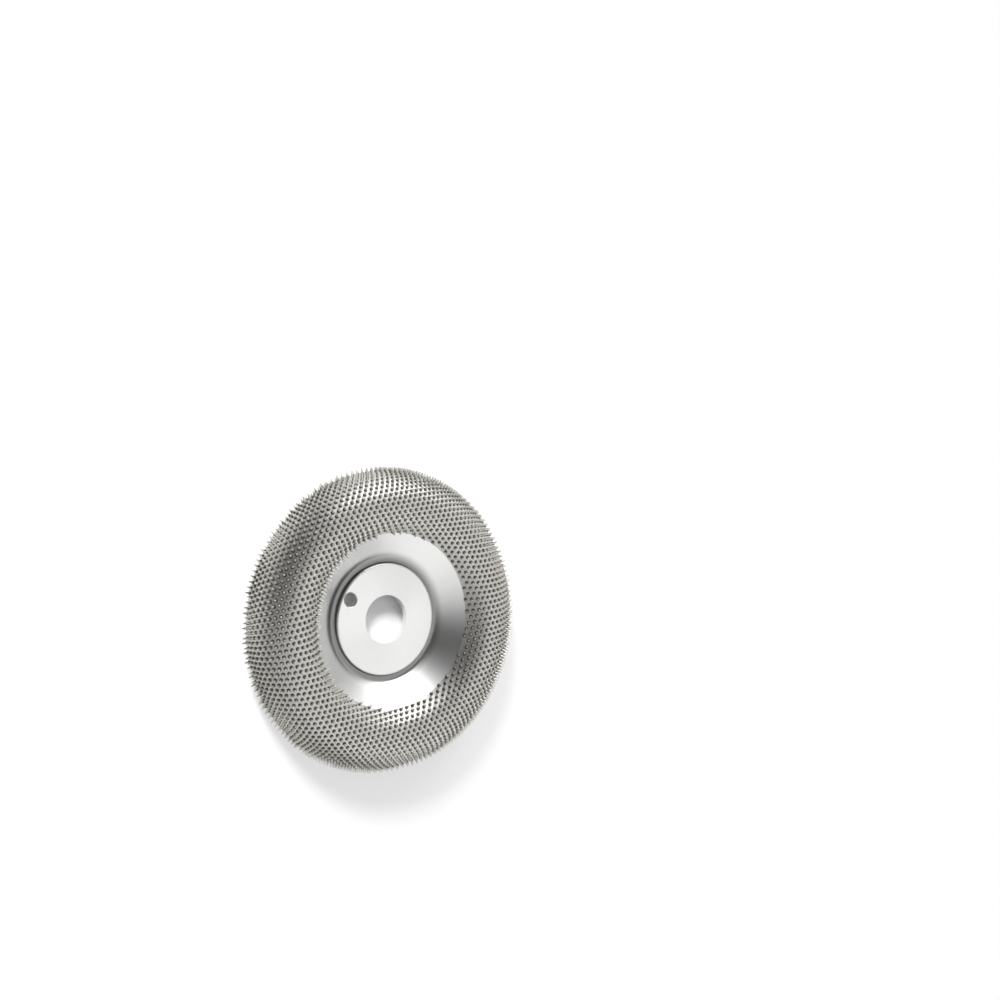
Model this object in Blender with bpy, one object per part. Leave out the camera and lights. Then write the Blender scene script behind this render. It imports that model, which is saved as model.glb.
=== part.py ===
"""Donut-shaped carbide sanding disc for a small angle grinder.

A steel dish carries a field of carbide needles. The dish is a body of revolution about +Z: a bored
clamping hub in the middle, a groove round it, a satin sweep that climbs from the groove, and a rounded
tyre that ends in a plain rear rim. It lies on that rim, so z = 0 is the rim's plane, and +Z points out
of the working face. The needles are brazed on one thin coat. They stand on one flat staggered lattice
whose rows run along X, formed over the tyre as a perforated sheet would be.
"""

import math

import bmesh
import bpy
from mathutils import Vector

# Driving dimensions, in metres and degrees
TIP_DIAMETER = 0.1016        # over the needle tips, a 4 inch disc
BORE_DIAMETER = 0.016        # spindle register of a 100 mm grinder
WALL = 0.0022                # the sheet that the dish is pressed from
RIM_EDGE = 0.0005            # bevel on both corners of the rear rim

HUB_DIAMETER = 0.0376        # over the hub's rounded edge
HUB_STEP = 0.0013            # hub face above the floor of the groove
HUB_EDGE_RADIUS = 0.0009
HUB_FOOT_RADIUS = 0.0004     # fillet between the hub's wall and the groove
GROOVE_FLAT = 0.00045        # flat floor of the groove
GROOVE_RADIUS = 0.0025       # fillet from the groove into the sweep
GROOVE_LIFT = 0.0015         # back of the groove above the plane that the disc rests on

CROWN_RISE = 0.0091          # steel crown of the tyre above the hub face
TYRE_INNER_RADIUS = 0.0087   # round of the tyre on its hub side
TYRE_OUTER_RADIUS = 0.0102   # round of the tyre on its outer side

HUB_HOLE_DIAMETER = 0.0046
HUB_HOLE_INSET = 0.0011      # from the hub's wall to the near side of the hole
HUB_HOLE_ANGLE = 143.0       # from +X, counter-clockwise seen from the front

COAT_THICKNESS = 0.0005      # carbide and braze between the needles
COAT_GAP = 0.0003            # clearance between the coat and the steel
COAT_ON_SWEEP = 0.0047       # width of the coat below the tyre's inner round
COAT_REAR_LIFT = 0.0015      # rear edge of the coat above the rim's plane
NEEDLE_HEIGHT = 0.0022
NEEDLE_PITCH = 0.0023        # spacing along a row
FLAT_INNER_RADIUS = 0.0256   # the coat's inner edge before it is formed over the tyre
FLAT_MARGIN = 0.0004         # plain edge outside the last needles

SEGMENTS = 56                # facets round the axis
HOLE_SEGMENTS = 16
INNER_STEPS = 3              # facets across the tyre's inner round
OUTER_STEPS = 7              # facets across its outer round

# Places that follow from them
HUB_RADIUS = HUB_DIAMETER / 2
GROOVE_FLOOR = GROOVE_LIFT + WALL
HUB_FACE = GROOVE_FLOOR + HUB_STEP
HUB_BACK = HUB_FACE - WALL
HUB_EDGE = min(HUB_EDGE_RADIUS, HUB_STEP * 0.7)
HUB_FOOT = min(HUB_FOOT_RADIUS, HUB_STEP - HUB_EDGE)
GROOVE_CENTRE = Vector((HUB_RADIUS + HUB_FOOT + GROOVE_FLAT, GROOVE_FLOOR + GROOVE_RADIUS))
CROWN = HUB_FACE + CROWN_RISE
COAT_TOP = COAT_GAP + COAT_THICKNESS
TIP_LEVEL = COAT_TOP + NEEDLE_HEIGHT
OUTER_ROUND = min(TYRE_OUTER_RADIUS, (CROWN - COAT_REAR_LIFT) * 0.9)
CROWN_RADIUS = TIP_DIAMETER / 2 - TIP_LEVEL - OUTER_ROUND
INNER_ROUND = min(TYRE_INNER_RADIUS, (CROWN_RADIUS - GROOVE_CENTRE.x) * 0.8 - GROOVE_RADIUS)


def remove_everything():
    for thing in list(bpy.data.objects):
        bpy.data.objects.remove(thing, do_unlink=True)


def make_material(name, colour, roughness, metallic):
    material = bpy.data.materials.new(name)
    material.use_nodes = True
    shader = material.node_tree.nodes["Principled BSDF"]
    shader.inputs["Base Color"].default_value = (*colour, 1.0)
    shader.inputs["Roughness"].default_value = roughness
    shader.inputs["Metallic"].default_value = metallic
    material.diffuse_color = (*colour, 1.0)
    return material


def make_object(name, mesh_builder, material):
    mesh = bpy.data.meshes.new(name)
    bmesh.ops.recalc_face_normals(mesh_builder, faces=mesh_builder.faces)
    mesh_builder.to_mesh(mesh)
    mesh_builder.free()
    mesh.materials.append(material)
    thing = bpy.data.objects.new(name, mesh)
    bpy.context.scene.collection.objects.link(thing)
    return thing


def arc(centre, radius, start, end, steps):
    """Points (r, z) on an arc, from one angle to another in degrees, ends included."""
    points = []
    for step in range(steps + 1):
        angle = math.radians(start + (end - start) * step / steps)
        points.append((centre[0] + radius * math.cos(angle), centre[1] + radius * math.sin(angle)))
    return points


class Straight:
    """A straight run of the tyre's section, with the steel on its right-hand side."""

    def __init__(self, start, end):
        self.start = Vector(start)
        self.along = (Vector(end) - self.start).normalized()
        self.run = (Vector(end) - self.start).length
        self.normal = Vector((-self.along.y, self.along.x))

    def length(self, level):
        return self.run

    def point(self, share, level):
        return self.start + self.along * (self.run * share) + self.normal * level


class Round:
    """A round run of the tyre's section, turning clockwise about its centre."""

    def __init__(self, centre, radius, start, end):
        self.centre = Vector(centre)
        self.radius = radius
        self.start = math.radians(start)
        self.end = math.radians(end)

    def length(self, level):
        return (self.radius + level) * (self.start - self.end)

    def point(self, share, level):
        angle = self.start + (self.end - self.start) * share
        return self.centre + Vector((math.cos(angle), math.sin(angle))) * (self.radius + level)


def sweep_slope(inner_centre):
    """Slope of the straight sweep that is tangent to the groove's fillet and the tyre's round."""
    span = inner_centre - GROOVE_CENTRE
    return math.atan2(span.y, span.x) + math.asin((GROOVE_RADIUS + INNER_ROUND) / span.length)


def tyre_runs():
    """The tyre's outer surface from the groove to the rear rim, as runs of its section."""
    inner_centre = Vector((CROWN_RADIUS, CROWN - INNER_ROUND))
    outer_centre = Vector((CROWN_RADIUS, CROWN - OUTER_ROUND))
    slope = sweep_slope(inner_centre)
    outward = Vector((-math.sin(slope), math.cos(slope)))
    skirt_radius = CROWN_RADIUS + OUTER_ROUND
    return [
        Straight(GROOVE_CENTRE - outward * GROOVE_RADIUS, inner_centre + outward * INNER_ROUND),
        Round(inner_centre, INNER_ROUND, 90 + math.degrees(slope), 90),
        Round(outer_centre, OUTER_ROUND, 90, 0),
        Straight((skirt_radius, outer_centre.y), (skirt_radius, 0.0)),
    ]


def tyre_stations(runs, level):
    """Corners of the tyre's section at a height above the steel, from the sweep to the rim."""
    sweep, inner, outer, skirt = runs
    points = [sweep.point(0, level)]
    points += [inner.point(step / INNER_STEPS, level) for step in range(INNER_STEPS + 1)]
    points += [outer.point(step / OUTER_STEPS, level) for step in range(1, OUTER_STEPS + 1)]
    points.append(skirt.point(1, level))
    return points


def spin_profile(mesh_builder, points, closed):
    """Turn a list of (r, z) corners once about the Z axis."""
    corners = [mesh_builder.verts.new((r, 0.0, z)) for r, z in points]
    edges = [mesh_builder.edges.new(pair) for pair in zip(corners, corners[1:])]
    if closed:
        edges.append(mesh_builder.edges.new((corners[-1], corners[0])))
    bmesh.ops.spin(
        mesh_builder,
        geom=corners + edges,
        cent=(0.0, 0.0, 0.0),
        axis=(0.0, 0.0, 1.0),
        angle=math.tau,
        steps=SEGMENTS,
        use_merge=True,
    )


def dish_profile(runs):
    """The dish's closed section, front surface first, then the back from the rim to the bore."""
    sweep, skirt = runs[0], runs[3]
    fillet_end = 270 + math.degrees(math.atan2(sweep.along.y, sweep.along.x))

    front = [(BORE_DIAMETER / 2, HUB_FACE)]
    front += arc((HUB_RADIUS - HUB_EDGE, HUB_FACE - HUB_EDGE), HUB_EDGE, 90, 0, 3)
    front += arc((HUB_RADIUS + HUB_FOOT, GROOVE_FLOOR + HUB_FOOT), HUB_FOOT, 180, 270, 2)
    front += arc(GROOVE_CENTRE, GROOVE_RADIUS, 270, fillet_end, 3)
    front += [tuple(point) for point in tyre_stations(runs, 0)[1:-1]]

    outer_wall = skirt.start.x
    inner_wall = outer_wall - WALL
    edge = min(RIM_EDGE, WALL * 0.4)
    rim = [(outer_wall, edge), (outer_wall - edge, 0.0)]
    rim += [(inner_wall + edge, 0.0), (inner_wall, edge)]

    back = [tuple(point) for point in reversed(tyre_stations(runs, -WALL)[1:-1])]
    back += arc(GROOVE_CENTRE, GROOVE_RADIUS + WALL, fillet_end, 270, 2)
    pocket = HUB_RADIUS - WALL
    back += [(pocket, GROOVE_LIFT), (pocket, HUB_BACK), (BORE_DIAMETER / 2, HUB_BACK)]
    return front + rim + back


def make_hole_cutter():
    """Round cutter for the small hole through the hub, long enough to pass both its faces."""
    angle = math.radians(HUB_HOLE_ANGLE)
    reach = HUB_RADIUS - HUB_HOLE_INSET - HUB_HOLE_DIAMETER / 2
    mesh_builder = bmesh.new()
    bmesh.ops.create_cone(
        mesh_builder,
        cap_ends=True,
        segments=HOLE_SEGMENTS,
        radius1=HUB_HOLE_DIAMETER / 2,
        radius2=HUB_HOLE_DIAMETER / 2,
        depth=HUB_FACE * 2,
    )
    cutter = make_object("hub_hole_cutter", mesh_builder, bpy.data.materials["satin steel"])
    cutter.location = (reach * math.cos(angle), reach * math.sin(angle), HUB_FACE)
    cutter.hide_render = True
    cutter.display_type = "WIRE"
    return cutter


def make_dish(runs, steel):
    mesh_builder = bmesh.new()
    spin_profile(mesh_builder, dish_profile(runs), closed=True)
    dish = make_object("steel_dish", mesh_builder, steel)
    dish.data.shade_smooth()
    dish.data.set_sharp_from_angle(angle=math.radians(35))
    cut = dish.modifiers.new("hub hole", "BOOLEAN")
    cut.operation = "DIFFERENCE"
    cut.object = make_hole_cutter()
    return dish


def coat_span(runs):
    """Where the coat begins on the sweep and ends on the skirt, as shares of those runs."""
    sweep, skirt = runs[0], runs[3]
    return 1 - COAT_ON_SWEEP / sweep.run, (skirt.start.y - COAT_REAR_LIFT) / skirt.run


def forming_path(runs):
    """The coat's runs as (run, first share, last share, length at the level of the needle tips)."""
    begin, end = coat_span(runs)
    path = []
    for run, first, last in zip(runs, (begin, 0, 0, 0), (1, 1, 1, end)):
        path.append((run, first, last, run.length(TIP_LEVEL) * (last - first)))
    return path


def form(path, flat, level):
    """Carry a point of the flat sheet to its place on the tyre, at a height above the steel."""
    radius = math.hypot(flat.x, flat.y)
    travel = max(radius - FLAT_INNER_RADIUS, 0.0)
    for run, first, last, length in path:
        if travel <= length or run is path[-1][0]:
            break
        travel -= length
    share = first + (last - first) * min(travel / length, 1.0)
    r, z = run.point(share, level)
    return Vector((r * flat.x / radius, r * flat.y / radius, z))


def flat_ring(mesh_builder, radius):
    """A closed ring of edges in the flat sheet, with its first corner on +X."""
    corners = []
    for step in range(SEGMENTS):
        angle = math.tau * step / SEGMENTS
        corners.append(mesh_builder.verts.new((radius * math.cos(angle), radius * math.sin(angle), 0.0)))
    return [mesh_builder.edges.new(pair) for pair in zip(corners, corners[1:] + corners[:1])]


def flat_lattice(mesh_builder, inner, outer):
    """Rhombic cells, one for each needle, that lie whole between two radii of the flat sheet.

    The cells' centres are a staggered lattice with a needle's place at each point, and the lattice is
    its own mirror through the axis, so the disc stays balanced.
    """
    along_row = Vector((NEEDLE_PITCH, 0.0))
    to_next_row = Vector((NEEDLE_PITCH / 2, NEEDLE_PITCH * math.sqrt(3) / 2))
    reach = int(outer / to_next_row.y) + 2
    corners = {}
    for row in range(-reach, reach + 1):
        for place in range(-2 * reach, 2 * reach + 1):
            spot = along_row * place + to_next_row * row
            if inner <= spot.length <= outer:
                corners[place, row] = mesh_builder.verts.new((spot.x, spot.y, 0.0))
    cells = []
    for place, row in corners:
        around = [(place, row), (place + 1, row), (place + 1, row + 1), (place, row + 1)]
        if all(key in corners for key in around):
            cells.append(mesh_builder.faces.new([corners[key] for key in around]))
    return cells


def drop_loose_corners(mesh_builder):
    loose = [corner for corner in mesh_builder.verts if not corner.link_edges]
    bmesh.ops.delete(mesh_builder, geom=loose, context="VERTS")


def make_coat(runs, carbide):
    """The needle field: a flat sheet of cells, formed over the tyre, each cell drawn up to a point."""
    path = forming_path(runs)
    flat_outer_radius = FLAT_INNER_RADIUS + sum(length for _, _, _, length in path)
    facet_loss = flat_outer_radius * (1 - math.cos(math.pi / SEGMENTS))
    mesh_builder = bmesh.new()
    cells = flat_lattice(
        mesh_builder,
        FLAT_INNER_RADIUS + FLAT_MARGIN,
        flat_outer_radius - facet_loss - FLAT_MARGIN,
    )
    drop_loose_corners(mesh_builder)
    borders = [edge for edge in mesh_builder.edges if len(edge.link_faces) == 1]
    borders += flat_ring(mesh_builder, FLAT_INNER_RADIUS)
    borders += flat_ring(mesh_builder, flat_outer_radius)
    bmesh.ops.triangle_fill(mesh_builder, use_beauty=True, edges=borders, normal=(0.0, 0.0, 1.0))
    for corner in mesh_builder.verts:
        corner.co = form(path, corner.co, COAT_TOP)
    for face in mesh_builder.faces:
        face.normal_update()
        if face.normal.dot(form(path, face.calc_center_median(), COAT_TOP)) < 0:
            face.normal_flip()
    bmesh.ops.poke(mesh_builder, faces=cells, offset=NEEDLE_HEIGHT, center_mode="MEAN")

    begin, end = coat_span(runs)
    sweep, skirt = runs[0], runs[3]
    under = [sweep.point(begin, COAT_TOP), sweep.point(begin, COAT_GAP)]
    under += tyre_stations(runs, COAT_GAP)[1:-1]
    under += [skirt.point(end, COAT_GAP), skirt.point(end, COAT_TOP)]
    spin_profile(mesh_builder, under, closed=False)
    bmesh.ops.remove_doubles(mesh_builder, verts=mesh_builder.verts, dist=0.00001)
    return make_object("carbide_teeth", mesh_builder, carbide)


def main():
    remove_everything()
    steel = make_material("satin steel", (0.66, 0.66, 0.65), 0.32, 1.0)
    carbide = make_material("brazed carbide", (0.46, 0.45, 0.42), 0.45, 0.9)
    runs = tyre_runs()
    make_dish(runs, steel)
    make_coat(runs, carbide)


main()
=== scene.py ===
# %% [markdown]
# A carbide sanding disc, dressed for its picture.
# The real thing is a dished steel wheel with a rounded tyre. Thousands of small carbide needles are brazed to
# the tyre, and they do the cutting. The solids of the part are loaded first and never moved.
# Every piece made here sits exactly where one of those solids is, with the finer form and the true finish.

# %% The frame
import math
import random

import bmesh
import bpy
from mathutils import Matrix, Vector


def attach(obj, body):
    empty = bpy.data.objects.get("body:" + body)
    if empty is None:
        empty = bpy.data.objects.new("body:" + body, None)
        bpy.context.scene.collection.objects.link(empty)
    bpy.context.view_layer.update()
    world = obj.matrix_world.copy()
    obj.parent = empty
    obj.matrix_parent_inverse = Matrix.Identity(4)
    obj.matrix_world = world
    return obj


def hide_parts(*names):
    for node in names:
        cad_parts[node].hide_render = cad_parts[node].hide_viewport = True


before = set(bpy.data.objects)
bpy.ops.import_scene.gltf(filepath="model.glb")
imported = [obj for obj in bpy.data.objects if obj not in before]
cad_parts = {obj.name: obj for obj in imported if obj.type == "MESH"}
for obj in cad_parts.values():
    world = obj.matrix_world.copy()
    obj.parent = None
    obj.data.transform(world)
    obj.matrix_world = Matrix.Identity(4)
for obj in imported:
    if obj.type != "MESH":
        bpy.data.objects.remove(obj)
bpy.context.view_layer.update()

# %% [markdown]
# The section of the wheel.
# A wheel like this is pressed from sheet and then turned, so one section, spun about the axis, gives all of
# it. The section is made of straight and round runs, as a draughtsman would write it, because the needles
# must later find their places on the same runs. A curve drawn by hand would look alike, but nothing could
# be measured along it.

# %% Sizes of the section, in metres
TIP_DIAMETER = 0.1016
BORE_DIAMETER = 0.016
WALL = 0.0022
RIM_EDGE = 0.0005
HUB_DIAMETER = 0.0376
HUB_STEP = 0.0013
HUB_EDGE_RADIUS = 0.0009
HUB_FOOT_RADIUS = 0.0004
GROOVE_FLAT = 0.00045
GROOVE_RADIUS = 0.0025
GROOVE_LIFT = 0.0015
CROWN_RISE = 0.0091
TYRE_INNER_RADIUS = 0.0087
TYRE_OUTER_RADIUS = 0.0102
TIP_LEVEL = 0.0030

HUB_RADIUS = HUB_DIAMETER / 2
GROOVE_FLOOR = GROOVE_LIFT + WALL
HUB_FACE = GROOVE_FLOOR + HUB_STEP
HUB_BACK = HUB_FACE - WALL
GROOVE_CENTRE = Vector((HUB_RADIUS + HUB_FOOT_RADIUS + GROOVE_FLAT, GROOVE_FLOOR + GROOVE_RADIUS))
CROWN = HUB_FACE + CROWN_RISE
CROWN_RADIUS = TIP_DIAMETER / 2 - TIP_LEVEL - TYRE_OUTER_RADIUS
print("crown at radius", round(CROWN_RADIUS * 1000, 2), "height", round(CROWN * 1000, 2))


# %% Straight and round runs
def arc(centre, radius, start, end, steps):
    """Points (r, z) on an arc from one angle to another, in degrees, both ends included."""
    points = []
    for step in range(steps + 1):
        angle = math.radians(start + (end - start) * step / steps)
        points.append((centre[0] + radius * math.cos(angle), centre[1] + radius * math.sin(angle)))
    return points


class Straight:
    """A straight run of the tyre, with the steel on its right-hand side."""

    def __init__(self, start, end):
        self.start = Vector(start)
        self.along = (Vector(end) - self.start).normalized()
        self.run = (Vector(end) - self.start).length
        self.normal = Vector((-self.along.y, self.along.x))

    def length(self, level):
        return self.run

    def outward(self, share):
        return self.normal

    def point(self, share, level):
        return self.start + self.along * (self.run * share) + self.normal * level


class Round:
    """A round run of the tyre, turning clockwise about its centre."""

    def __init__(self, centre, radius, start, end):
        self.centre = Vector(centre)
        self.radius = radius
        self.start = math.radians(start)
        self.end = math.radians(end)

    def length(self, level):
        return (self.radius + level) * (self.start - self.end)

    def outward(self, share):
        angle = self.start + (self.end - self.start) * share
        return Vector((math.cos(angle), math.sin(angle)))

    def point(self, share, level):
        return self.centre + self.outward(share) * (self.radius + level)


# %% The four runs of the tyre
inner_centre = Vector((CROWN_RADIUS, CROWN - TYRE_INNER_RADIUS))
outer_centre = Vector((CROWN_RADIUS, CROWN - TYRE_OUTER_RADIUS))
span = inner_centre - GROOVE_CENTRE
SWEEP_SLOPE = math.atan2(span.y, span.x) + math.asin((GROOVE_RADIUS + TYRE_INNER_RADIUS) / span.length)
sweep_outward = Vector((-math.sin(SWEEP_SLOPE), math.cos(SWEEP_SLOPE)))
SKIRT_RADIUS = CROWN_RADIUS + TYRE_OUTER_RADIUS

sweep = Straight(
    GROOVE_CENTRE - sweep_outward * GROOVE_RADIUS,
    inner_centre + sweep_outward * TYRE_INNER_RADIUS,
)
inner_round = Round(inner_centre, TYRE_INNER_RADIUS, 90 + math.degrees(SWEEP_SLOPE), 90)
outer_round = Round(outer_centre, TYRE_OUTER_RADIUS, 90, 0)
skirt = Straight((SKIRT_RADIUS, outer_centre.y), (SKIRT_RADIUS, 0.0))
print("sweep climbs at", round(math.degrees(SWEEP_SLOPE), 1), "degrees")

# %% [markdown]
# Turning a section into a wheel.
# Blender can turn a section with the Screw modifier or with the spin operator of bmesh. Spin is used here,
# because use_merge joins the last turn to the first, so that the wheel is closed without a seam. Corners that
# lie on the axis come out once for each step, so they are merged, and then all faces are pointed outwards.

# %% Spinning and finishing a piece
MERGE_DISTANCE = 0.000001


def spin_section(builder, points, closed, steps):
    """Turns a chain of (r, z) points once about the upright axis, without a seam or an open pole."""
    corners = [builder.verts.new((r, 0.0, z)) for r, z in points]
    edges = [builder.edges.new(pair) for pair in zip(corners, corners[1:])]
    if closed:
        edges.append(builder.edges.new((corners[-1], corners[0])))
    bmesh.ops.spin(
        builder,
        geom=corners + edges,
        cent=(0.0, 0.0, 0.0),
        axis=(0.0, 0.0, 1.0),
        angle=math.tau,
        steps=steps,
        use_merge=True,
    )
    bmesh.ops.remove_doubles(builder, verts=builder.verts, dist=MERGE_DISTANCE)
    bmesh.ops.recalc_face_normals(builder, faces=builder.faces)


def mesh_from(name, builder):
    """The built shape as a mesh."""
    mesh = bpy.data.meshes.new(name)
    builder.to_mesh(mesh)
    builder.free()
    return mesh


def finish_piece(name, builder, finish, node):
    """Makes the object, gives it its finish, and lets it stand for one of the solids."""
    mesh = mesh_from(name, builder)
    mesh.materials.append(finish)
    piece = bpy.data.objects.new(name, mesh)
    bpy.context.scene.collection.objects.link(piece)
    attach(piece, "root")
    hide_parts(node)
    triangles = sum(len(face.vertices) - 2 for face in mesh.polygons)
    print(name, triangles, "triangles")
    return piece


def smooth_piece(piece, sharp_from):
    """Smooth shading, with the edges that turn by more than this many degrees kept sharp."""
    piece.data.shade_smooth()
    piece.data.set_sharp_from_angle(angle=math.radians(sharp_from))


# %% [markdown]
# Satin turned steel.
# The dish is bare steel with the fine rings that a lathe leaves. They are far too fine to model, so the
# distance from the axis drives a noise that comes out as rings, and that noise tilts the surface a little
# through a Bump node. The rings also stretch every highlight across themselves, so the shader's anisotropy
# is on, with a tangent that runs round the axis. The groove round the hub gets painted shade, a dark tone
# for the shade that gathers in it. That could be painted on an image, but the distance from the axis says it
# all.

# %% Node helpers
def new_finish(name):
    """A new material, with its nodes, its links and its own shader."""
    material = bpy.data.materials.new(name)
    material.use_nodes = True
    nodes = material.node_tree.nodes
    return nodes, material.node_tree.links, nodes["Principled BSDF"], material


def math_node(nodes, links, operation, *inputs):
    """A sum on sockets and plain numbers."""
    node = nodes.new("ShaderNodeMath")
    node.operation = operation
    for socket, value in zip(node.inputs, inputs):
        if isinstance(value, (int, float)):
            socket.default_value = value
        else:
            links.new(value, socket)
    return node.outputs[0]


def colour_ramp(nodes, links, factor, stops):
    """A colour that changes from stop to stop as the factor grows."""
    node = nodes.new("ShaderNodeValToRGB")
    links.new(factor, node.inputs["Fac"])
    node.color_ramp.elements[0].position = stops[0][0]
    node.color_ramp.elements[0].color = (*stops[0][1], 1.0)
    node.color_ramp.elements[1].position = stops[-1][0]
    node.color_ramp.elements[1].color = (*stops[-1][1], 1.0)
    for place, colour in stops[1:-1]:
        element = node.color_ramp.elements.new(place)
        element.color = (*colour, 1.0)
    return node.outputs["Color"]


def smooth_step(nodes, links, value, start, end, low, high):
    """A value that eases from low to high between two readings of another value."""
    node = nodes.new("ShaderNodeMapRange")
    node.interpolation_type = "SMOOTHSTEP"
    node.inputs["From Min"].default_value = start
    node.inputs["From Max"].default_value = end
    node.inputs["To Min"].default_value = low
    node.inputs["To Max"].default_value = high
    links.new(value, node.inputs["Value"])
    return node.outputs["Result"]


def noise(nodes, links, place, scale, detail, dimensions="3D"):
    """A soft random value that changes from place to place, or along one reading only."""
    node = nodes.new("ShaderNodeTexNoise")
    node.noise_dimensions = dimensions
    node.inputs["Scale"].default_value = scale
    node.inputs["Detail"].default_value = detail
    links.new(place, node.inputs["W" if dimensions == "1D" else "Vector"])
    return node.outputs["Fac"]


def bare_metal(nodes, links, shader, grain, roughness, relief):
    """Metal with a roughness from (least, spread) and a relief of (strength, depth), both by its grain."""
    least, spread = roughness
    strength, depth = relief
    rough = math_node(nodes, links, "MULTIPLY_ADD", grain, spread, least)
    links.new(rough, shader.inputs["Roughness"])
    shader.inputs["Metallic"].default_value = 1.0
    bump = nodes.new("ShaderNodeBump")
    bump.inputs["Strength"].default_value = strength
    bump.inputs["Distance"].default_value = depth
    links.new(grain, bump.inputs["Height"])
    links.new(bump.outputs["Normal"], shader.inputs["Normal"])


# %% The finish of the dish
RING_SCALE = 6500.0
CLOUD_SCALE = 160.0
CLOUD_TONES = ((0.3, (0.91, 0.91, 0.902)), (0.7, (0.93, 0.93, 0.922)))
# Painted shade: a near-black tone laid into the groove round the hub, fading out towards the sweep and the
# hub face.
GROOVE_SHADE_TONE = (0.06, 0.058, 0.052)
GROOVE_SHADE_FADES_FROM = HUB_RADIUS + 0.0006
GROOVE_SHADE_ENDS = HUB_RADIUS + 0.0042
UNSHADED_SHARE_IN_GROOVE = 0.26
HUB_SIDE_WIDTH = 0.0005
TURNING_SHINE = 0.55


def satin_turned_steel():
    """Turned steel with rings round the axis, and painted shade in the groove."""
    nodes, links, shader, material = new_finish("satin_turned_steel")
    place = nodes.new("ShaderNodeTexCoord").outputs["Object"]
    split = nodes.new("ShaderNodeSeparateXYZ")
    links.new(place, split.inputs[0])
    across = math_node(nodes, links, "MULTIPLY", split.outputs["X"], split.outputs["X"])
    deep = math_node(nodes, links, "MULTIPLY", split.outputs["Y"], split.outputs["Y"])
    radius = math_node(nodes, links, "SQRT", math_node(nodes, links, "ADD", across, deep))
    rings = noise(nodes, links, radius, RING_SCALE, 3.0, "1D")
    cloud = noise(nodes, links, place, CLOUD_SCALE, 4.0)

    # Painted shade in the groove: the colour darkens between the hub side and the start of the sweep.
    outside = smooth_step(nodes, links, radius, GROOVE_SHADE_FADES_FROM, GROOVE_SHADE_ENDS, UNSHADED_SHARE_IN_GROOVE, 1.0)
    inside = smooth_step(nodes, links, radius, HUB_RADIUS - HUB_SIDE_WIDTH, HUB_RADIUS, 1.0, 0.0)
    unshaded = math_node(nodes, links, "MAXIMUM", outside, inside)
    tone = nodes.new("ShaderNodeMix")
    tone.data_type = "RGBA"
    tone.inputs["A"].default_value = (*GROOVE_SHADE_TONE, 1.0)
    links.new(unshaded, tone.inputs["Factor"])
    links.new(colour_ramp(nodes, links, cloud, CLOUD_TONES), tone.inputs["B"])
    links.new(tone.outputs["Result"], shader.inputs["Base Color"])

    bare_metal(nodes, links, shader, rings, roughness=(0.27, 0.10), relief=(0.25, 0.00002))
    shader.inputs["Anisotropic"].default_value = TURNING_SHINE
    round_the_axis = nodes.new("ShaderNodeVectorMath")
    round_the_axis.operation = "CROSS_PRODUCT"
    round_the_axis.inputs[0].default_value = (0.0, 0.0, 1.0)
    links.new(place, round_the_axis.inputs[1])
    links.new(round_the_axis.outputs["Vector"], shader.inputs["Tangent"])
    print("finish", material.name)
    return material


# %% [markdown]
# The steel dish.
# From the axis outwards it has a flat clamping hub, a narrow groove, the smooth sweep that climbs to the
# tyre, and the tyre itself, which ends in a plain rim. The back follows the front at the thickness of the
# sheet. The same section is spun here with many more steps than the solid has, so that its edge is round
# even close up.

# %% Section of the dish
TURN_STEPS = 240
ROUND_STEPS = 16


def tyre_points(level):
    """Points (r, z) along the two rounds of the tyre, this far above the steel."""
    points = [inner_round.point(step / ROUND_STEPS, level) for step in range(ROUND_STEPS + 1)]
    points += [outer_round.point(step / ROUND_STEPS, level) for step in range(1, ROUND_STEPS + 1)]
    return [tuple(point) for point in points]


def dish_section():
    """The closed section: along the front from the bore to the rim, and back behind it."""
    fillet_end = 270 + math.degrees(SWEEP_SLOPE)
    points = [(BORE_DIAMETER / 2, HUB_FACE)]
    points += arc((HUB_RADIUS - HUB_EDGE_RADIUS, HUB_FACE - HUB_EDGE_RADIUS), HUB_EDGE_RADIUS, 90, 0, 8)
    foot_centre = (HUB_RADIUS + HUB_FOOT_RADIUS, GROOVE_FLOOR + HUB_FOOT_RADIUS)
    points += arc(foot_centre, HUB_FOOT_RADIUS, 180, 270, 6)
    points += arc(GROOVE_CENTRE, GROOVE_RADIUS, 270, fillet_end, 8)
    points += tyre_points(0)
    points += [(SKIRT_RADIUS, RIM_EDGE), (SKIRT_RADIUS - RIM_EDGE, 0.0)]
    inner_wall = SKIRT_RADIUS - WALL
    points += [(inner_wall + RIM_EDGE, 0.0), (inner_wall, RIM_EDGE)]
    points += list(reversed(tyre_points(-WALL)))
    points += arc(GROOVE_CENTRE, GROOVE_RADIUS + WALL, fillet_end, 270, 8)
    pocket = HUB_RADIUS - WALL
    points += [(pocket, GROOVE_LIFT), (pocket, HUB_BACK), (BORE_DIAMETER / 2, HUB_BACK)]
    return points


print("dish section", len(dish_section()), "points")

# %% [markdown]
# The hole in the hub.
# One small round hole goes through the hub near its edge. A spun section can't have it, so it is cut out of
# the finished dish with a Boolean modifier. The cutter is a bobbin, wider at both ends, because a drilled
# hole in sheet has its edges broken, and a sharp edge would catch no light at all.

# %% The hole in the hub
HUB_HOLE_DIAMETER = 0.0046
HUB_HOLE_INSET = 0.0011
HUB_HOLE_ANGLE = 143.0
HUB_HOLE_BREAK = 0.00025
HUB_HOLE_STEPS = 48


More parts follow.
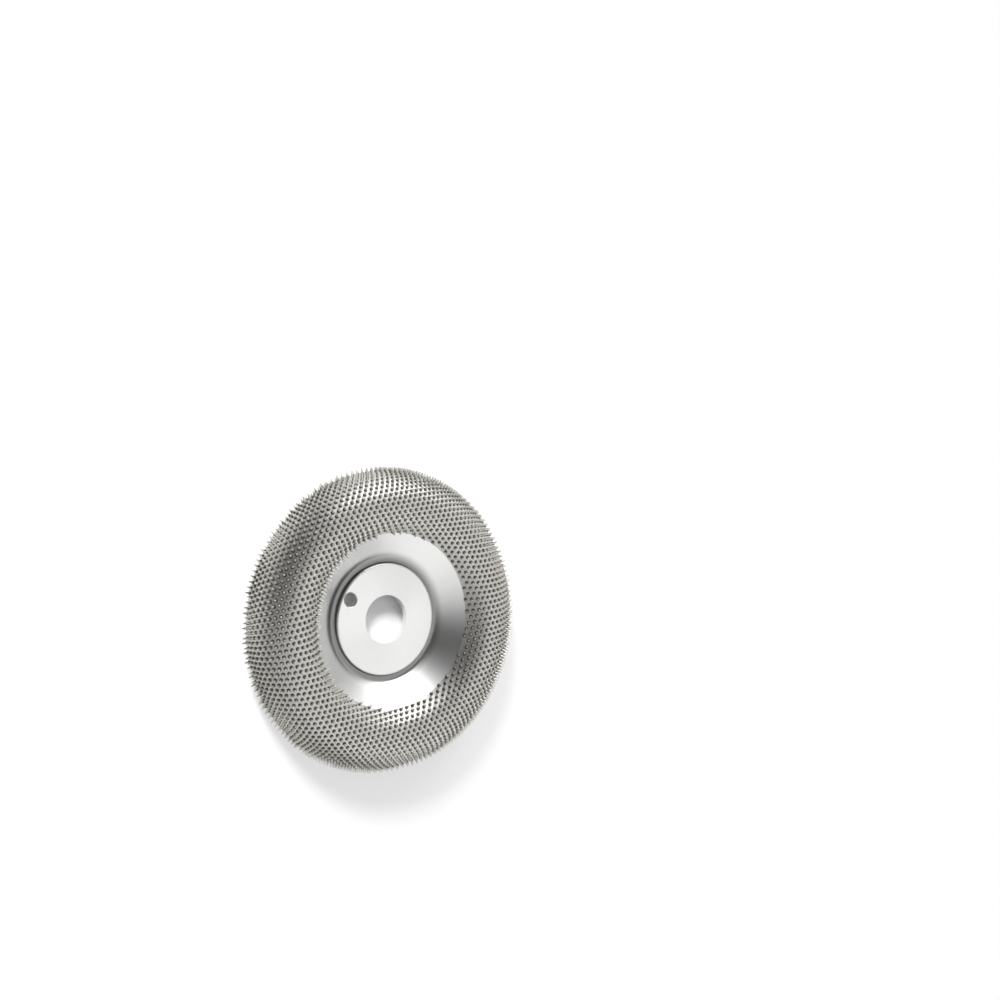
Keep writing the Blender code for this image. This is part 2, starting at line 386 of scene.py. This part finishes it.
def hole_cutter():
    """A bobbin that cuts the hole and breaks its edge on both faces of the hub."""
    radius = HUB_HOLE_DIAMETER / 2
    wide = radius + HUB_HOLE_BREAK * 3
    builder = bmesh.new()
    spin_section(
        builder,
        [
            (0.0, HUB_FACE + HUB_HOLE_BREAK * 2),
            (wide, HUB_FACE + HUB_HOLE_BREAK * 2),
            (radius, HUB_FACE - HUB_HOLE_BREAK),
            (radius, HUB_BACK + HUB_HOLE_BREAK),
            (wide, HUB_BACK - HUB_HOLE_BREAK * 2),
            (0.0, HUB_BACK - HUB_HOLE_BREAK * 2),
        ],
        closed=False,
        steps=HUB_HOLE_STEPS,
    )
    reach = HUB_RADIUS - HUB_HOLE_INSET - radius
    turn = math.radians(HUB_HOLE_ANGLE)
    aside = Vector((reach * math.cos(turn), reach * math.sin(turn), 0.0))
    bmesh.ops.translate(builder, verts=builder.verts, vec=aside)
    return bpy.data.objects.new("hub_hole_cutter", mesh_from("hub_hole_cutter", builder))


# %% The dish
def make_dish():
    """The spun dish with the hole cut out of its hub."""
    builder = bmesh.new()
    spin_section(builder, dish_section(), closed=True, steps=TURN_STEPS)
    dish = finish_piece("dish", builder, satin_turned_steel(), "steel_dish")
    cutter = hole_cutter()
    bpy.context.scene.collection.objects.link(cutter)
    cut = dish.modifiers.new("hub hole", "BOOLEAN")
    cut.operation = "DIFFERENCE"
    cut.object = cutter
    shape = bpy.data.meshes.new_from_object(dish.evaluated_get(bpy.context.evaluated_depsgraph_get()))
    dish.modifiers.clear()
    dish.data = shape
    bpy.data.objects.remove(cutter, do_unlink=True)
    smooth_piece(dish, sharp_from=35)
    return dish


dish = make_dish()
print("dish", len(dish.data.polygons), "faces after the hole")

# %% [markdown]
# The needle field.
# The needles stand on one flat staggered lattice, rows along X, as if a flat sheet of them had been formed
# over the tyre. So a needle keeps its direction from the axis, and its distance from the axis on the flat
# sheet becomes a distance travelled along the section. A ring of needles turned about the axis would be
# easier, but the rows of a real wheel run straight across it, and they close up only where the tyre bends.

# %% Sizes of the needle field
NEEDLE_PITCH = 0.0021
COAT_LEVEL = 0.0012
NEEDLE_HEIGHT = TIP_LEVEL - COAT_LEVEL
FLAT_INNER_RADIUS = 0.0256
COAT_ON_SWEEP = 0.0047
COAT_REAR_LIFT = 0.0015
EDGE_MARGIN = 0.0006


def forming_path():
    """The runs under the coat as (run, first share, last share, length at the needle tips)."""
    begin = 1 - COAT_ON_SWEEP / sweep.run
    end = (skirt.start.y - COAT_REAR_LIFT) / skirt.run
    path = []
    for run, first, last in ((sweep, begin, 1), (inner_round, 0, 1), (outer_round, 0, 1), (skirt, 0, end)):
        path.append((run, first, last, run.length(TIP_LEVEL) * (last - first)))
    return path


FORMING_PATH = forming_path()
FLAT_OUTER_RADIUS = FLAT_INNER_RADIUS + sum(length for _, _, _, length in FORMING_PATH)
print("flat sheet from", FLAT_INNER_RADIUS, "to", round(FLAT_OUTER_RADIUS, 4))


def place_on_tyre(flat_radius):
    """The run, and how far along it as a share, where a radius of the flat sheet comes to lie."""
    travel = flat_radius - FLAT_INNER_RADIUS
    for run, first, last, length in FORMING_PATH:
        if travel <= length:
            break
        travel -= length
    return run, first + (last - first) * travel / length


# %% [markdown]
# One needle.
# Carbide grain is drawn up into a slender point that stands on a foot flared by the braze. Seen down its
# length mostly the foot shows, darkened with painted shade, and seen from the side mostly the bright point
# does. A cone primitive has no flared foot, so a short profile is spun about its own axis: each row is a
# radius in metres and a height as a share of the needle's. It has six sides, because thousands of copies
# can't afford more faces.

# %% One needle
NEEDLE_SIDES = 6
NEEDLE_PROFILE = (
    (0.00074, -0.05),
    (0.00061, 0.06),
    (0.00044, 0.20),
    (0.00027, 0.84),
    (0.00015, 0.95),
    (0.0, 1.0),
)


def needle_mesh():
    """A slender point on a flared foot, which reaches a little below z = 0."""
    builder = bmesh.new()
    profile = [(radius, share * NEEDLE_HEIGHT) for radius, share in NEEDLE_PROFILE]
    spin_section(builder, profile, closed=False, steps=NEEDLE_SIDES)
    return mesh_from("one_needle", builder)


needle = needle_mesh()
needle_top = max(corner.co.z for corner in needle.vertices)
print("one needle", len(needle.polygons), "faces, top at", round(needle_top * 1000, 3), "mm")


# %% [markdown]
# Carbide and braze.
# The needles are carbide grain wetted with braze: a warm silver grey, bright at the point. Their feet are
# darkened with painted shade, for the shade that falls deep between the crowded needles. Each needle's mesh
# carries its own height as an attribute called rise, and the finish reads it, so that the painted shade
# follows every needle wherever it leans. A second attribute, shade, makes some needles a little duller than
# others.
# The braze between them is a plainer and duller grey.

# %% Finish of the needles and of the coat between them
CARBIDE_GRAIN_SCALE = 2600.0
FOOT_SHADE_EDGE = 0.08
# Painted shade: the low, dark end of this ramp darkens every needle's foot, where the needles crowd together.
SHADED_FOOT_TO_POINT = (
    (0.0, (0.19, 0.18, 0.16)),
    (0.22, (0.23, 0.217, 0.195)),
    (0.46, (0.74, 0.73, 0.69)),
    (0.72, (0.93, 0.92, 0.88)),
)
NEEDLE_TONES = ((0.0, (0.90, 0.895, 0.88)), (1.0, (1.0, 1.0, 1.0)))
BRAZE_GRAIN_SCALE = 1800.0
BRAZE_TONES = ((0.3, (0.74, 0.73, 0.70)), (0.7, (0.81, 0.80, 0.77)))


def brazed_carbide():
    """Carbide with painted shade at each needle's foot, and bright at its point."""
    nodes, links, shader, material = new_finish("brazed_carbide_needles")
    place = nodes.new("ShaderNodeTexCoord").outputs["Object"]
    rise = nodes.new("ShaderNodeAttribute")
    rise.attribute_name = "rise"
    shade = nodes.new("ShaderNodeAttribute")
    shade.attribute_name = "shade"
    grain = noise(nodes, links, place, CARBIDE_GRAIN_SCALE, 3.0)

    ragged = math_node(nodes, links, "MULTIPLY_ADD", grain, FOOT_SHADE_EDGE, -FOOT_SHADE_EDGE / 2)
    up = math_node(nodes, links, "ADD", rise.outputs["Fac"], ragged)
    tone = nodes.new("ShaderNodeMix")
    tone.data_type = "RGBA"
    tone.blend_type = "MULTIPLY"
    tone.inputs["Factor"].default_value = 1.0
    # This ramp paints shade onto the foot of each needle and leaves the point bright.
    links.new(colour_ramp(nodes, links, up, SHADED_FOOT_TO_POINT), tone.inputs["A"])
    links.new(colour_ramp(nodes, links, shade.outputs["Fac"], NEEDLE_TONES), tone.inputs["B"])
    links.new(tone.outputs["Result"], shader.inputs["Base Color"])
    bare_metal(nodes, links, shader, grain, roughness=(0.32, 0.10), relief=(0.12, 0.00008))
    print("finish", material.name)
    return material


def braze_between():
    """The grey braze that covers the tyre between the needles."""
    nodes, links, shader, material = new_finish("braze_between_needles")
    place = nodes.new("ShaderNodeTexCoord").outputs["Object"]
    grain = noise(nodes, links, place, BRAZE_GRAIN_SCALE, 5.0)
    links.new(colour_ramp(nodes, links, grain, BRAZE_TONES), shader.inputs["Base Color"])
    bare_metal(nodes, links, shader, grain, roughness=(0.46, 0.12), relief=(0.12, 0.00005))
    print("finish", material.name)
    return material


# %% [markdown]
# The braze coat.
# The needles stand in a thin coat of braze that covers the tyre. It starts as a feather edge on the sweep, so
# that the steel seems to run on between the first needles, and it thickens as it climbs. A Solidify modifier
# would make it even all over, so the coat is spun from the same runs as the dish, a little above them.

# %% The coat
COAT_UNDER = 0.00005
COAT_REAR_ROUND = 0.0004


def coat_level(run, share):
    """How thick the coat is: nothing at its feathered edge, and the full level past the sweep."""
    if run is not sweep:
        return COAT_LEVEL
    begin = FORMING_PATH[0][1]
    return COAT_LEVEL * (share - begin) / (1 - begin)


def make_coat():
    """The coat as a spun skin, feathered on the sweep and rounded at the rear."""
    begin = FORMING_PATH[0][1]
    end = FORMING_PATH[-1][2]
    rear = skirt.point(end, 0.0).y
    points = [tuple(sweep.point(begin, -COAT_UNDER))]
    points += tyre_points(COAT_LEVEL)
    edge_centre = (SKIRT_RADIUS + COAT_LEVEL - COAT_REAR_ROUND, rear + COAT_REAR_ROUND)
    points += arc(edge_centre, COAT_REAR_ROUND, 0, -90, 5)
    points += [(SKIRT_RADIUS + COAT_UNDER, rear)]
    points += list(reversed(tyre_points(COAT_UNDER)))
    builder = bmesh.new()
    spin_section(builder, points, closed=True, steps=TURN_STEPS)
    coat = finish_piece("braze_coat", builder, braze_between(), "carbide_teeth")
    smooth_piece(coat, sharp_from=50)


make_coat()

# %% [markdown]
# Laying the field.
# Every needle stands square to the steel below it, with a slight lean of its own, because brazed grain is
# never quite true. Instances would be the quick way to lay thousands of them, but this piece has to be one
# real mesh, so the needle's mesh is copied, put in place and joined to the field one after the other.

# %% The field
FIELD_SEED = 17
LEAN_DEGREES = 1.0
NEEDLE_WIDTHS = (0.96, 1.03)
NEEDLE_HEIGHTS = (0.96, 0.998)


def needle_matrix(flat, chance):
    """Where one needle of the flat sheet stands on the tyre, square to the steel but for a slight lean."""
    run, share = place_on_tyre(flat.length)
    out = run.outward(share)
    foot = run.point(share, coat_level(run, share))
    azimuth = flat.normalized()
    direction = Vector((out.x * azimuth.x, out.x * azimuth.y, out.y))
    stand = direction.to_track_quat("Z", "Y").to_matrix().to_4x4()
    nudge = Matrix.Rotation(math.radians(chance.uniform(-LEAN_DEGREES, LEAN_DEGREES)), 4, "X")
    nudge @= Matrix.Rotation(math.radians(chance.uniform(-LEAN_DEGREES, LEAN_DEGREES)), 4, "Y")
    nudge @= Matrix.Rotation(chance.uniform(0, math.tau), 4, "Z")
    width = chance.uniform(*NEEDLE_WIDTHS)
    size = Matrix.Diagonal((width, width, chance.uniform(*NEEDLE_HEIGHTS), 1.0))
    place = Matrix.Translation((foot.x * azimuth.x, foot.x * azimuth.y, foot.y))
    return place @ stand @ nudge @ size


def make_needles():
    """Every needle of the lattice that falls on the sheet, as one mesh."""
    chance = random.Random(FIELD_SEED)
    across = Vector((NEEDLE_PITCH, 0.0))
    next_row = Vector((NEEDLE_PITCH / 2, NEEDLE_PITCH * math.sqrt(3) / 2))
    centre = (across + next_row) / 3
    first = FLAT_INNER_RADIUS + EDGE_MARGIN
    last = FLAT_OUTER_RADIUS - EDGE_MARGIN
    reach = int(last / next_row.y) + 2
    builder = bmesh.new()
    count = 0
    for row in range(-reach, reach + 1):
        for place in range(-2 * reach, 2 * reach + 1):
            flat = centre + across * place + next_row * row
            if not first <= flat.length <= last:
                continue
            copy = needle.copy()
            copy.transform(needle_matrix(flat, chance))
            builder.from_mesh(copy)
            bpy.data.meshes.remove(copy)
            count += 1
    shades = [chance.random() for _ in range(count)]
    needles = finish_piece("carbide_needles", builder, brazed_carbide(), "carbide_teeth")
    rises = [min(max(corner.co.z / NEEDLE_HEIGHT, 0.0), 1.0) for corner in needle.vertices]
    rise = needles.data.attributes.new("rise", "FLOAT", "POINT")
    rise.data.foreach_set("value", rises * count)
    shade = needles.data.attributes.new("shade", "FLOAT", "POINT")
    shade.data.foreach_set("value", [tone for tone in shades for _ in rises])
    smooth_piece(needles, sharp_from=60)
    print(count, "needles")


make_needles()

# %% [markdown]
# The floor.
# The wheel lies on plain white paper. It has to look white, but more lamp light would wash out the
# steel, so the camera sees a share of plain white mixed over the real surface. The rest still shows the
# shadow. The share is nothing under the wheel, where the paper is dark, and everything far away from it,
# and it grows with the distance from the axis, in metres.

# %% Floor
PAPER_REACH = 6.0
PAPER_LEVEL = 0.90
UNDER_WHEEL = 0.036
BESIDE_WHEEL = 0.050
SHADOW_FADES_FROM = 0.10
SHADOW_ENDS = 0.28
WHITE_BESIDE_WHEEL = 0.52
WHITE_LOST_IN_MIRROR = 0.55


def make_floor():
    """White paper that keeps the shadow and is plain white far away."""
    builder = bmesh.new()
    bmesh.ops.create_grid(builder, x_segments=1, y_segments=1, size=PAPER_REACH)
    mesh = mesh_from("floor", builder)
    floor = bpy.data.objects.new("floor", mesh)
    bpy.context.scene.collection.objects.link(floor)
    nodes, links, shader, material = new_finish("pale_floor")
    shader.inputs["Base Color"].default_value = (PAPER_LEVEL, PAPER_LEVEL, PAPER_LEVEL, 1.0)
    shader.inputs["Roughness"].default_value = 0.7
    glow = nodes.new("ShaderNodeEmission")
    glow.inputs["Color"].default_value = (1.0, 1.0, 1.0, 1.0)
    path = nodes.new("ShaderNodeLightPath")
    seen = math_node(nodes, links, "MAXIMUM", path.outputs["Is Camera Ray"], path.outputs["Is Glossy Ray"])
    seen = math_node(nodes, links, "MAXIMUM", seen, path.outputs["Is Transmission Ray"])

    away = nodes.new("ShaderNodeVectorMath")
    away.operation = "LENGTH"
    links.new(nodes.new("ShaderNodeTexCoord").outputs["Object"], away.inputs[0])
    radius = away.outputs["Value"]
    near = smooth_step(nodes, links, radius, UNDER_WHEEL, BESIDE_WHEEL, 0.0, WHITE_BESIDE_WHEEL)
    far = smooth_step(nodes, links, radius, SHADOW_FADES_FROM, SHADOW_ENDS, 0.0, 1 - WHITE_BESIDE_WHEEL)
    share = math_node(nodes, links, "ADD", near, far)
    glossy = path.outputs["Is Glossy Ray"]
    strength = math_node(nodes, links, "MULTIPLY_ADD", glossy, -WHITE_LOST_IN_MIRROR, 1.0)
    links.new(strength, glow.inputs["Strength"])

    mix = nodes.new("ShaderNodeMixShader")
    links.new(math_node(nodes, links, "MULTIPLY", seen, share), mix.inputs["Fac"])
    links.new(shader.outputs[0], mix.inputs[1])
    links.new(glow.outputs[0], mix.inputs[2])
    links.new(mix.outputs[0], nodes["Material Output"].inputs["Surface"])
    mesh.materials.append(material)
    print("floor", len(mesh.polygons), "face")


make_floor()

# %% [markdown]
# The room.
# Bare metal looks like whatever stands round it, so a wheel in an even white room would look like plaster.
# The room here is white, with one dark part high behind the wheel, and its two sides are dimmed. The dark
# part draws the soft band across the smooth steel. Only mirrored rays see it: the camera sees plain white,
# and the paper gets a level light. A photograph of a room would do the same, but could not be tuned.
# Each part is written as two readings of a ray's direction and the levels that the room has at them.

# %% World
ROOM_LEVEL = 0.55
DARK_SIDE = Vector((-0.24, 0.65, 0.72))
DARK_PART = (0.52, 0.84, 1.0, 0.03)
LEFT_SIDE = (-0.95, -0.28, 0.36, 1.0)
RIGHT_SIDE = (0.50, 0.95, 1.0, 0.75)


def make_world():
    """A white room with one dark part, which only mirrored rays see."""
    world = bpy.data.worlds.new("studio")
    bpy.context.scene.world = world
    world.use_nodes = True
    nodes = world.node_tree.nodes
    links = world.node_tree.links
    background = nodes["Background"]
    background.inputs["Color"].default_value = (1.0, 1.0, 1.0, 1.0)
    path = nodes.new("ShaderNodeLightPath")
    direction = nodes.new("ShaderNodeTexCoord").outputs["Generated"]
    towards = nodes.new("ShaderNodeVectorMath")
    towards.operation = "DOT_PRODUCT"
    towards.inputs[1].default_value = DARK_SIDE.normalized()
    links.new(direction, towards.inputs[0])
    room = smooth_step(nodes, links, towards.outputs["Value"], *DARK_PART)
    split = nodes.new("ShaderNodeSeparateXYZ")
    links.new(direction, split.inputs[0])
    left = smooth_step(nodes, links, split.outputs["X"], *LEFT_SIDE)
    right = smooth_step(nodes, links, split.outputs["X"], *RIGHT_SIDE)
    soft = math_node(nodes, links, "MULTIPLY", left, right)
    soft = math_node(nodes, links, "MULTIPLY", soft, room)

    mirrored = math_node(
        nodes, links, "MAXIMUM", path.outputs["Is Glossy Ray"], path.outputs["Is Transmission Ray"]
    )
    level = math_node(nodes, links, "MULTIPLY", soft, mirrored)
    plain = math_node(nodes, links, "MULTIPLY_ADD", mirrored, -ROOM_LEVEL, ROOM_LEVEL)
    level = math_node(nodes, links, "ADD", level, plain)
    level = math_node(nodes, links, "MAXIMUM", level, path.outputs["Is Camera Ray"])
    links.new(level, background.inputs["Strength"])
    print("world", world.name, "level", ROOM_LEVEL)


make_world()


# %% [markdown]
# The lamps.
# Two square soft boxes stand behind the wheel, as beside a product table. The first is mirrored in the near
# side of the smooth steel and makes it white. The second only throws the soft shadow in front of the wheel,
# so it is hidden from mirrored rays. A sun lamp would give a hard shadow and a hard spark on every needle.

# %% Lamps
def soft_box(name, place, width, power):
    """A square lamp of this width in metres and power in watts that looks at the wheel."""
    light = bpy.data.lights.new(name, "AREA")
    light.shape = "SQUARE"
    light.size = width
    light.energy = power
    lamp = bpy.data.objects.new(name, light)
    lamp.location = place
    lamp.rotation_euler = (-Vector(place)).to_track_quat("-Z", "Y").to_euler()
    bpy.context.scene.collection.objects.link(lamp)
    return lamp


soft_box("overhead_box", (0.38, 0.66, 0.38), width=0.42, power=3.9)
side_box = soft_box("side_box", (-0.28, 0.72, 0.40), width=0.25, power=15.0)
side_box.visible_glossy = False
print("lamps", [lamp.name for lamp in bpy.data.lights])

# %% [markdown]
# The camera.
# The picture looks down on the wheel from its left, with the wheel low and left in the frame.
# The turn is built from a yaw, a tilt and a roll, and the lens from how many pixels wide one metre is at one
# metre. Aiming the camera at the wheel would bring it to the middle, so it is swung aside by the angle
# that puts the hub back on its own pixel.

# %% Camera
HUB_PIXEL = (386.3, 619.2)
PICTURE_WIDTH = 1000
SENSOR_WIDTH = 36.0
FOCAL_PIXELS = 1207.6
CAMERA_DISTANCE = 0.403
LOOK_YAW = 32.453
LOOK_TILT = 6.43
LOOK_ROLL = -0.747
ROW_TURN = 9.89
NEAREST_SEEN = 0.01


def make_camera():
    """Looks at the hub from the picture's side, with the hub off centre as in the picture."""
    turn = Matrix.Rotation(math.radians(LOOK_ROLL), 3, "Z")
    turn @= Matrix.Rotation(math.radians(LOOK_TILT), 3, "X")
    turn @= Matrix.Rotation(math.radians(LOOK_YAW), 3, "Y")
    turn @= Matrix.Rotation(math.radians(ROW_TURN), 3, "Z")
    aside = (HUB_PIXEL[0] - PICTURE_WIDTH / 2) / FOCAL_PIXELS
    below = (HUB_PIXEL[1] - PICTURE_WIDTH / 2) / FOCAL_PIXELS
    swing = Vector((0.0, 0.0, -1.0)).rotation_difference(Vector((aside, -below, -1.0))).to_matrix()
    place = Vector((0.0, 0.0, HUB_FACE)) + turn.transposed() @ Vector((0.0, 0.0, CAMERA_DISTANCE))
    data = bpy.data.cameras.new("camera")
    data.sensor_width = SENSOR_WIDTH
    data.lens = SENSOR_WIDTH * FOCAL_PIXELS / PICTURE_WIDTH
    data.clip_start = NEAREST_SEEN
    camera = bpy.data.objects.new("camera", data)
    camera.matrix_world = Matrix.Translation(place) @ (swing @ turn).transposed().to_4x4()
    bpy.context.scene.collection.objects.link(camera)
    bpy.context.scene.camera = camera
    print("camera at", [round(value, 4) for value in place], "lens", round(data.lens, 1))


make_camera()

# %% [markdown]
# The end.
# The Standard view keeps white paper white.

# %% View settings
bpy.context.scene.view_settings.view_transform = "Standard"
